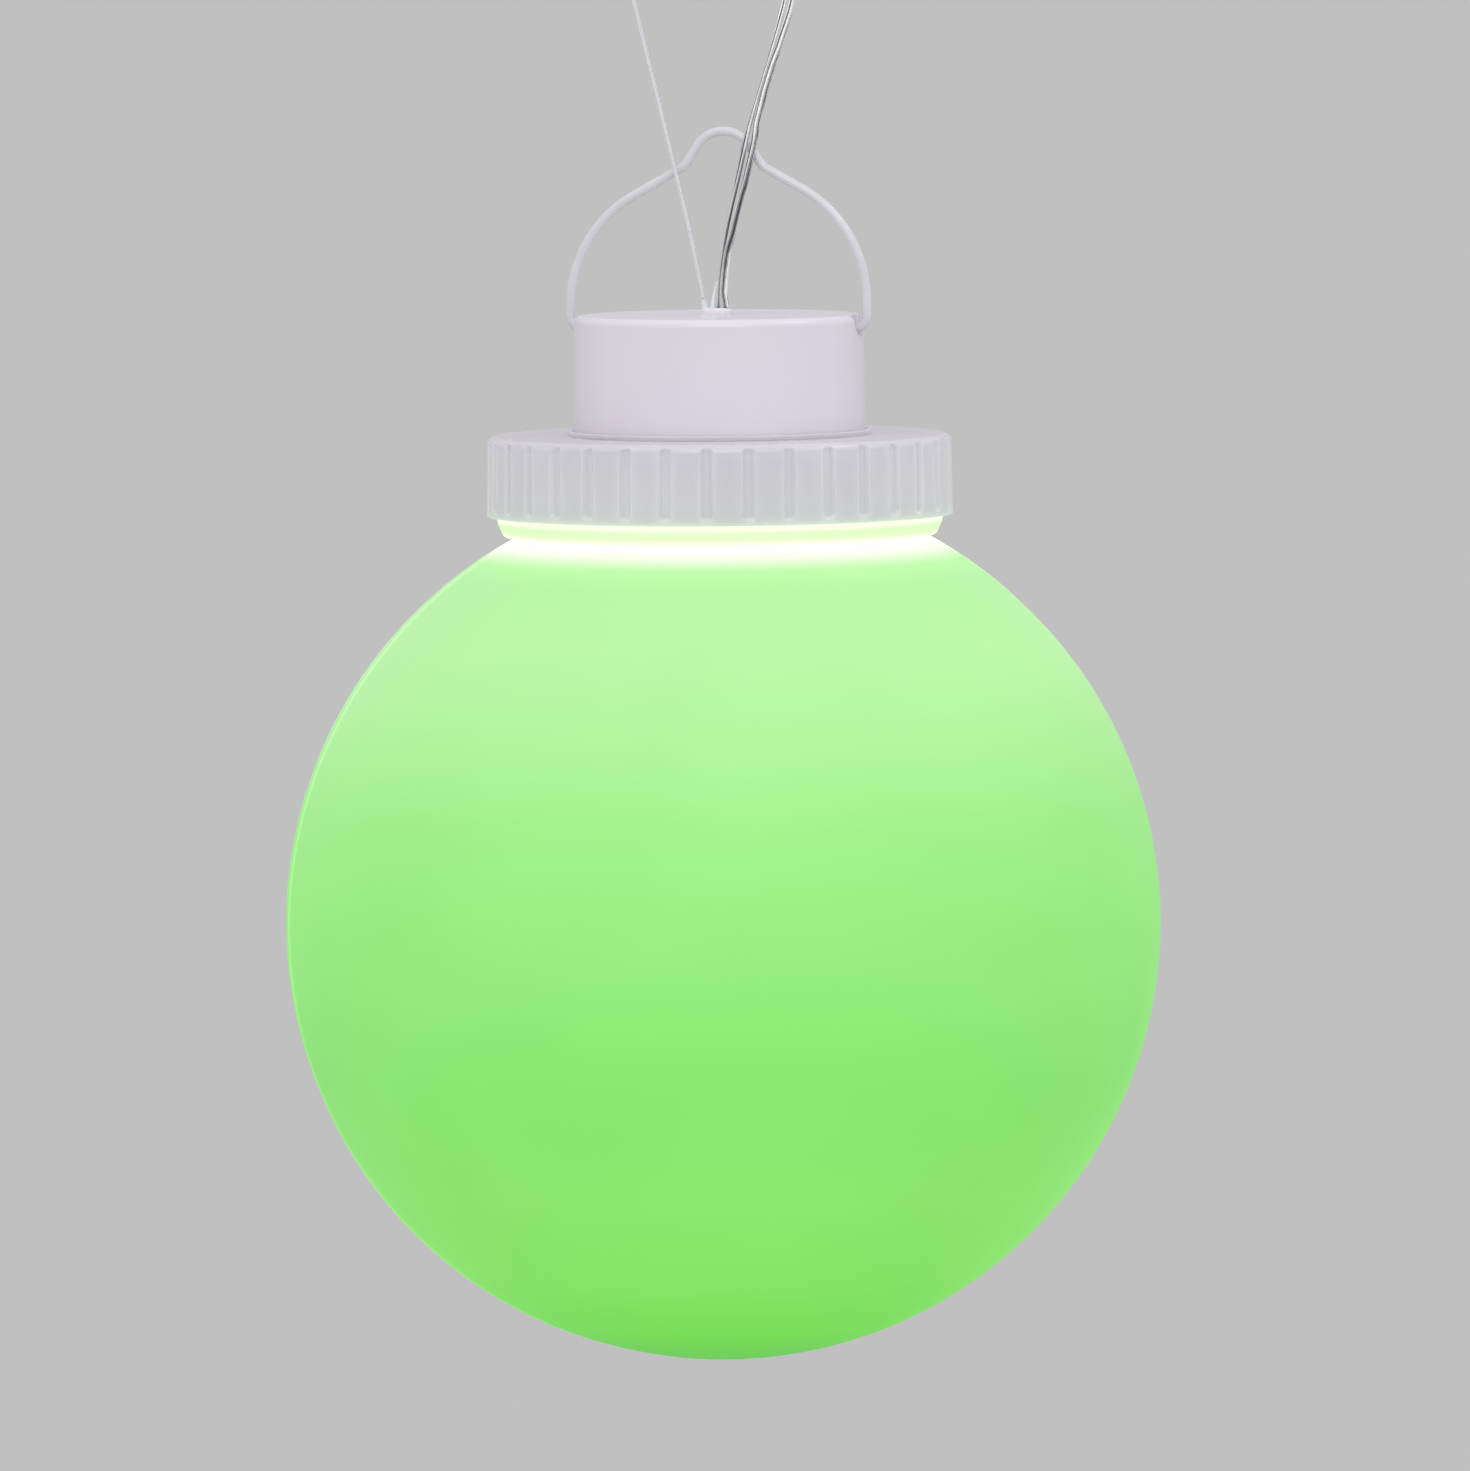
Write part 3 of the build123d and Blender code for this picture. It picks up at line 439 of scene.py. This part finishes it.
def frames(line, across):
    """Each point of the line with a steady pair of directions square to the line there."""
    made = []
    side = Vector(across)
    for k, point in enumerate(line):
        tangent = (line[min(k + 1, len(line) - 1)] - line[max(k - 1, 0)]).normalized()
        side = (side - tangent * side.dot(tangent)).normalized()
        made.append((point, side.copy(), tangent.cross(side)))
    return made


def oval(middle, side, up, radius, count, flat=1.0):
    """A ring of points about a middle, flattened in its second direction."""
    turns = [math.tau * k / count for k in range(count)]
    return [middle + (side * math.cos(t) + up * flat * math.sin(t)) * radius for t in turns]


def tube(name, rings, material, smooth=True):
    """A closed mesh tube through rings of points."""
    mesh = bpy.data.meshes.new(name)
    work = bmesh.new()
    rows = [[work.verts.new(p) for p in ring] for ring in rings]
    for a, b in zip(rows, rows[1:]):
        for k in range(len(a)):
            n = (k + 1) % len(a)
            work.faces.new((a[k], a[n], b[n], b[k]))
    work.faces.new(rows[0][::-1])
    work.faces.new(rows[-1])
    bmesh.ops.recalc_face_normals(work, faces=work.faces)
    for face in work.faces:
        face.smooth = smooth
    work.to_mesh(mesh)
    work.free()
    mesh.materials.append(material)
    return in_scene(name, mesh)


def wound(name, steady, winds, out, radius, sides, material):
    """A round strand that winds about a line at a distance, given its turns at each point."""
    rings = []
    for (point, side, up), wind in zip(steady, winds):
        turn = math.tau * wind
        middle = point + (side * math.cos(turn) + up * math.sin(turn)) * out
        rings.append(oval(middle, side, up, radius, sides))
    return tube(name, rings, material)


def joined(name, tubes):
    """One object of several meshes that share a material."""
    work = bmesh.new()
    for each in tubes:
        work.from_mesh(each.data)
    mesh = bpy.data.meshes.new(name)
    work.to_mesh(mesh)
    work.free()
    mesh.materials.append(tubes[0].data.materials[0])
    for each in tubes:
        bpy.data.objects.remove(each)
    return in_scene(name, mesh)


# ------------------------------------------------------------------ lead
# Clear flat twin flex. These points are its route in metres.
LEAD = [
    (0.00093, 0.0, -0.0392),
    (0.00093, 0.0, -0.0327),
    (0.003298, -0.000947, -0.0206),
    (0.006594, -0.002265, -0.0086),
    (0.008961, -0.003212, 0.0014),
    (0.012443, -0.004605, 0.0122),
    (0.016343, -0.006165, 0.0234),
    (0.019407, -0.007390, 0.0339),
    (0.019407, -0.007390, 0.0434),
]
LEAD_STEP = 0.0007
LEAD_TURN = math.radians(-21.8)
LEAD_ACROSS = (math.cos(LEAD_TURN), math.sin(LEAD_TURN), 0)
CORE = 0.00080          # middle of each conductor, from the lead's middle
SHEATH = 0.00085        # radius of the clear sheath round each conductor
FLANK, FLANK_STEPS = 78, 12     # degrees of each sheath on either side of its outermost line

# The flat lead's slow twist: (height, degrees).
TWIST = [
    (-0.0392, 0), (-0.0355, -36), (-0.0268, -38), (-0.0205, -10), (-0.0136, -4),
    (-0.0090, 15), (-0.0020, 28), (0.0040, -18), (0.0115, -33), (0.0165, -33),
    (0.0218, -14), (0.0300, 12), (0.0434, 20),
]

# Each conductor has six tinned strands round a seventh, all of one metal. Their three shades
# are painted reflections. They are pale at the gland, painted darker within the shaded heights
# and bright above them, and their glow is painted light that brightens them in the clear sheath.
STRANDS_AROUND = 6
STRAND_SHADES = (1, 2, 0, 2, 1, 0, 1)
SHADE_PIECES = ("flex_strands_dark", "flex_strands", "flex_strands_light")
STRAND_OUT = 0.00031
STRAND_RADIUS = 0.000165
STRAND_SIDES = 7
STRAND_LAY = 0.16       # metres in which a strand goes round once
SHADED = (-0.040, 0.004)
SHADED_STOPS = (0.12, 0.32, 0.77, 1.0)      # shares of those heights: pale, dark, dark, pale
RAGGED = 0.004          # by so much the shade's ends vary in height
SHADED_GLOW = 0.5       # of the strands' glow elsewhere

clear = Paint("lead_clear", (0.98, 0.97, 0.98), 0.06, Transmission_Weight=1.0, IOR=1.38)
clear.uneven_gloss(900, 0.03, 0.09, stretch=(1, 1, 0.05))


def conductor_paint(shade, middle, ends, shine):
    """Tinned copper: painted shade in the shaded heights, painted light beyond, and a painted glow.
    """
    paint = Paint(f"conductor_{shade}", ends, 0.3, Metallic=0.1)
    ragged = paint.between(paint.noise(300, 2.0), *NOISE_MIDDLE, -RAGGED, RAGGED)
    share = paint.between(paint.calculate("ADD", paint.height(), ragged), *SHADED)

    def shaded(pale, dark):
        return paint.ramp(share, list(zip(SHADED_STOPS, (pale, dark, dark, pale))))

    paint.link(shaded(ends, middle), paint.shader.inputs["Base Color"])
    paint.glow(shaded((shine,) * 3, (shine * SHADED_GLOW,) * 3), 1.0)
    return paint


strand_lit_shades = [
    conductor_paint("dark", (0.05, 0.045, 0.06), (0.24, 0.22, 0.25), 0.02),
    conductor_paint("mid", (0.36, 0.33, 0.37), (0.66, 0.63, 0.66), 0.15),
    conductor_paint("light", (0.95, 0.92, 0.95), (0.95, 0.93, 0.95), 0.45),
]


def lead_twist(level):
    """The lead's twist at a height, in radians, eased from one entry to the next."""
    for (low, start), (high, end) in zip(TWIST, TWIST[1:]):
        if level <= high:
            share = max(0, (level - low) / (high - low))
            return math.radians(start + (end - start) * share * share * (3 - 2 * share))
    return math.radians(TWIST[-1][1])


lead_line = evenly(route_line("lead_route", LEAD), LEAD_STEP)
lead_rings, core_frames = [], {-1: [], 1: []}
for point, side, up in frames(lead_line, LEAD_ACROSS):
    twist = lead_twist(point.z)
    wide = side * math.cos(twist) + up * math.sin(twist)
    thick = up * math.cos(twist) - side * math.sin(twist)
    ring = []   # up one flank and down the other
    for half in (1, -1):
        for step in range(FLANK_STEPS + 1):
            turn = math.radians(-FLANK + 2 * FLANK * step / FLANK_STEPS)
            reach = wide * (CORE + SHEATH * math.cos(turn)) + thick * SHEATH * math.sin(turn)
            ring.append(point + half * reach)
    lead_rings.append(ring)
    for half, core in core_frames.items():
        core.append((point + wide * CORE * half, wide, thick))
power_flex = tube("power_flex", lead_rings, clear.mat)

strands = [[] for _ in strand_lit_shades]
for half, core in core_frames.items():
    for strand, shade in enumerate(STRAND_SHADES):
        out = STRAND_OUT if strand < STRANDS_AROUND else 0
        winds = [strand / STRANDS_AROUND + k * LEAD_STEP / STRAND_LAY for k in range(len(core))]
        strands[shade].append(wound(
            f"strand_{half}_{strand}", core, winds, out, STRAND_RADIUS, STRAND_SIDES,
            strand_lit_shades[shade].mat,
        ))
conductors = [joined(name, group) for name, group in zip(SHADE_PIECES, strands)]
for piece in [power_flex] + conductors:
    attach(piece, "cap")
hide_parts("power_lead")
dress("lead_tail", clear)

# A thin web of silicone that climbs the lead's left edge from the gland and tapers off.
WEB_FOOT, WEB_TIP = Vector((-0.00125, -0.0007, -0.0396)), Vector((-0.00010, -0.0004, -0.0331))
WEB_STEPS = 12
WEB_BOW = -0.0002
WEB_WIDE, WEB_THIN, WEB_TAPER = 0.0005, 0.00016, 1.6
WEB_FLAT = 0.6
WEB_SIDES = 12
web_line = []
for k in range(WEB_STEPS + 1):
    bow = Vector((WEB_BOW * math.sin(math.pi * k / WEB_STEPS), 0, 0))
    web_line.append(WEB_FOOT.lerp(WEB_TIP, k / WEB_STEPS) + bow)
web_rings = []
for k, (point, side, up) in enumerate(frames(web_line, (1, 0, 0))):
    wide = WEB_WIDE * (1 - k / WEB_STEPS) ** WEB_TAPER + WEB_THIN
    web_rings.append(oval(point, side, up, wide, WEB_SIDES, WEB_FLAT))
gland_web = tube("gland_web", web_rings, silicone.mat)
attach(gland_web, "cap")

# ------------------------------------------------------------------ string
# Three fine strands, laid round one another.
STRING = [
    (-0.003406, -0.00015, -0.0372),
    (-0.005791, -0.001155, -0.0238),
    (-0.008797, -0.002162, -0.01038),
    (-0.021158, -0.0063, 0.0448),
]
STRING_STEP = 0.0004
STRING_LAY = 0.0045     # metres in which a strand goes round once
STRING_STRANDS = 3
STRING_OUT = 0.00023
STRING_RADIUS = 0.00027
STRING_SIDES = 8

string_line = evenly(route_line("string_route", STRING), STRING_STEP)
string_frames = frames(string_line, (1, 0, 0))
string_strands = []
for strand in range(STRING_STRANDS):
    lay = [strand / STRING_STRANDS + k * STRING_STEP / STRING_LAY for k in range(len(string_line))]
    string_strands.append(wound(
        f"string_strand_{strand}", string_frames, lay, STRING_OUT, STRING_RADIUS, STRING_SIDES,
        string_white.mat,
    ))
string_piece = joined("string_twisted", string_strands)
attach(string_piece, "cap")
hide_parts("hanging_string")

# The loop on the string's own line, as (aside, along) from its end, its wrapped knot and
# the knot's loose end.
LOOP = [
    (0.0004, 0.0022), (0.0012, 0.0045), (0.0040, 0.0085), (0.0052, 0.0135),
    (0.0044, 0.0182), (0.0015, 0.0206), (-0.0015, 0.0206), (-0.0044, 0.0182),
    (-0.0052, 0.0135), (-0.0040, 0.0085), (-0.0012, 0.0045), (-0.0004, 0.0022),
]
LOOP_STEP = 0.0005
KNOT_TURNS, KNOT_STEPS = 3.5, 60
KNOT_REACH, KNOT_SWELL = 0.00085, 0.00012
KNOT_FOOT, KNOT_RISE = 0.0002, 0.0034
KNOT_RADIUS = 0.00046
TAIL_STEPS = 6
TAIL_FOOT, TAIL_REACH, TAIL_DROOP = 0.0006, 0.0042, 0.0012
TAIL_RADIUS = 0.00042

string_foot = Vector(STRING[-1])
along = (string_foot - Vector(STRING[-2])).normalized()
aside = Vector((0, 1, 0)).cross(along).normalized()
outward = aside.cross(along)
loop_points = [tuple(string_foot + aside * x + along * z) for x, z in LOOP]
loop_line = evenly(route_line("loop_route", loop_points), LOOP_STEP)
knot_line = []
for k in range(KNOT_STEPS + 1):
    turn = math.tau * KNOT_TURNS * k / KNOT_STEPS
    reach = KNOT_REACH + KNOT_SWELL * math.sin(math.pi * k / KNOT_STEPS)
    around = (aside * math.cos(turn) + outward * math.sin(turn)) * reach
    knot_line.append(string_foot + around + along * (KNOT_FOOT + KNOT_RISE * k / KNOT_STEPS))
tail_course = outward * 0.7 - aside * 0.5
tail_line = []
for k in range(TAIL_STEPS + 1):
    droop = along * TAIL_DROOP * (k / TAIL_STEPS) ** 2
    away = tail_course * TAIL_REACH * k / TAIL_STEPS
    tail_line.append(string_foot + along * TAIL_FOOT + away - droop)

eye_strands = []
for name, line, across, count, out, radius in (
    ("loop", loop_line, outward, STRING_STRANDS, STRING_OUT, STRING_RADIUS),
    ("knot", knot_line, along, 1, 0.0, KNOT_RADIUS),
    ("tail", tail_line, along, 1, 0.0, TAIL_RADIUS),
):
    steady = frames(line, across)
    passed = [0.0]
    for run in runs(line):
        passed.append(passed[-1] + run)
    for strand in range(count):
        lay = [strand / STRING_STRANDS + length / STRING_LAY for length in passed]
        eye_strands.append(wound(
            f"{name}_strand_{strand}", steady, lay, out, radius, STRING_SIDES, string_white.mat,
        ))
string_eye = joined("string_eye", eye_strands)
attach(string_eye, "cap")
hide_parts("string_loop")

# ------------------------------------------------------------------ globe's trim
# The globe's screw thread, which the collar hides. It fades at both ends.
THREAD_TURNS, THREAD_PITCH = 2.0, 0.004
THREAD_STEPS, THREAD_FADE = 180, 12
THREAD_FOOT = -0.0848
THREAD_ROOT, THREAD_FLOOR = 0.0468, 0.0470      # radii, the first within the neck's wall
THREAD_HEIGHT = 0.0013
THREAD_HALF_ROOT, THREAD_HALF_CREST = 0.0013, 0.0004

thread_rings = []
for k in range(THREAD_STEPS + 1):
    turn = math.tau * THREAD_TURNS * k / THREAD_STEPS
    crest = THREAD_FLOOR + THREAD_HEIGHT * min(1, k / THREAD_FADE, (THREAD_STEPS - k) / THREAD_FADE)
    level = THREAD_FOOT + THREAD_PITCH * turn / math.tau
    thread_rings.append([
        Vector((math.cos(turn) * radius, math.sin(turn) * radius, level + rise))
        for radius, rise in (
            (THREAD_ROOT, -THREAD_HALF_ROOT), (crest, -THREAD_HALF_CREST),
            (crest, THREAD_HALF_CREST), (THREAD_ROOT, THREAD_HALF_ROOT),
        )
    ])
neck_thread = tube("neck_thread", thread_rings, green.mat, smooth=False)
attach(neck_thread, "globe")

# The mould's parting line: a fine ridge round the globe in an upright plane, from one
# side of the bead to the other. Its plane is seen nearly face on.
SEAM_TURN = AZIMUTH + math.radians(9)
SEAM_SWING = 151.4      # degrees from the globe's foot to either end
SEAM_STEPS = 240
GLOBE_MIDDLE = Vector((0, 0, -0.17975))
SEAM_ROOT = 0.0999      # just inside the globe's radius
SEAM_PROFILE = ((-0.0005, 0.0), (-0.00025, 0.0003), (0.0, 0.0004), (0.00025, 0.0003), (0.0005, 0.0))

seam_out = Vector((math.cos(SEAM_TURN), math.sin(SEAM_TURN), 0))
seam_across = Vector((-seam_out.y, seam_out.x, 0))
seam_rings = []
for k in range(SEAM_STEPS + 1):
    swing = math.radians(-SEAM_SWING + 2 * SEAM_SWING * k / SEAM_STEPS)
    away = seam_out * math.sin(swing) + Vector((0, 0, -math.cos(swing)))
    seam_rings.append([
        GLOBE_MIDDLE + away * (SEAM_ROOT + rise) + seam_across * across
        for across, rise in SEAM_PROFILE
    ])
# The ridge glows brighter than the wall round it: a painted highlight.
parting_line = tube("parting_line", seam_rings, seam_highlight.mat)
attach(parting_line, "globe")

# ------------------------------------------------------------------ studio
GREY = 0.5271           # the backdrop, as the camera and reflections see it
SKY = 0.90              # what lights the scene from all round

world = bpy.data.worlds.new("studio")
scene.world = world
world.use_nodes = True
studio = Tree(world.node_tree)
studio.tree.nodes.clear()


def sky(strength):
    node = studio.add("ShaderNodeBackground")
    node.inputs["Color"].default_value = (1, 1, 1, 1)
    node.inputs["Strength"].default_value = strength
    return node.outputs[0]


rays = studio.add("ShaderNodeLightPath").outputs
seen_or_through = studio.calculate("MAXIMUM", rays["Is Camera Ray"], rays["Is Transmission Ray"])
backdrop = studio.calculate("MAXIMUM", seen_or_through, rays["Is Glossy Ray"])
studio.link(
    studio.mixed_shaders(backdrop, sky(SKY), sky(GREY)),
    studio.add("ShaderNodeOutputWorld").inputs["Surface"],
)

LAMP_DISTANCE = 1.9
LAMP_AIM = Vector((0, 0, -0.12))
LAMPS = (               # name, azimuth from the camera's, elevation, size, watts, colour
    ("front_soft", 0, 30, (1.2, 1.0), 8.2, (1, 1, 1)),
    ("over_soft", 0, 74, (0.8, 0.8), 1.5, (1, 1, 1)),
    ("top_left_soft", -62, 60, (0.4, 0.4), 1.2, (1.0, 0.96, 0.95)),
    ("top_right_soft", 78, 48, (0.45, 0.45), 3.0, (0.95, 0.96, 1.0)),
    ("left_strip", -97, 0, (0.35, 1.6), 0.8, (1.0, 0.90, 0.88)),
    ("right_strip", 97, 0, (0.35, 1.6), 0.8, (0.88, 0.90, 1.0)),
)
for name, azimuth, elevation, size, watts, colour in LAMPS:
    lamp = bpy.data.lights.new(name, "AREA")
    lamp.shape = "RECTANGLE"
    lamp.size, lamp.size_y = size
    lamp.energy = watts
    lamp.color = colour
    holder = in_scene(name, lamp)
    back = seen_at(AZIMUTH + math.radians(azimuth), math.radians(elevation))
    holder.location = LAMP_AIM + back * LAMP_DISTANCE
    holder.rotation_mode = "QUATERNION"
    holder.rotation_quaternion = back.to_track_quat("Z", "Y")
    holder.visible_camera = False

# A wide floor far below, close to the backdrop's grey.
FLOOR_HALF, FLOOR_LEVEL = 8, -2.4
FLOOR_AS_BACKDROP = 0.7     # the share of the backdrop's grey in what the camera sees of it
floor_mesh = bpy.data.meshes.new("studio_floor")
floor_mesh.from_pydata(
    [(x * FLOOR_HALF, y * FLOOR_HALF, FLOOR_LEVEL) for x, y in ((-1, -1), (1, -1), (1, 1), (-1, 1))],
    [],
    [(0, 1, 2, 3)],
)
floor = in_scene("studio_floor", floor_mesh)
pale = Paint("studio_floor", (0.6, 0.6, 0.6), 0.9)
lit = pale.add("ShaderNodeEmission")
lit.inputs["Color"].default_value = (GREY, GREY, GREY, 1)
seen = pale.add("ShaderNodeLightPath").outputs["Is Camera Ray"]
share = pale.calculate("MULTIPLY", seen, FLOOR_AS_BACKDROP)
pale.link(
    pale.mixed_shaders(share, pale.shader.outputs[0], lit.outputs[0]),
    pale.tree.nodes["Material Output"].inputs["Surface"],
)
floor_mesh.materials.append(pale.mat)

scene.view_settings.view_transform = "Standard"
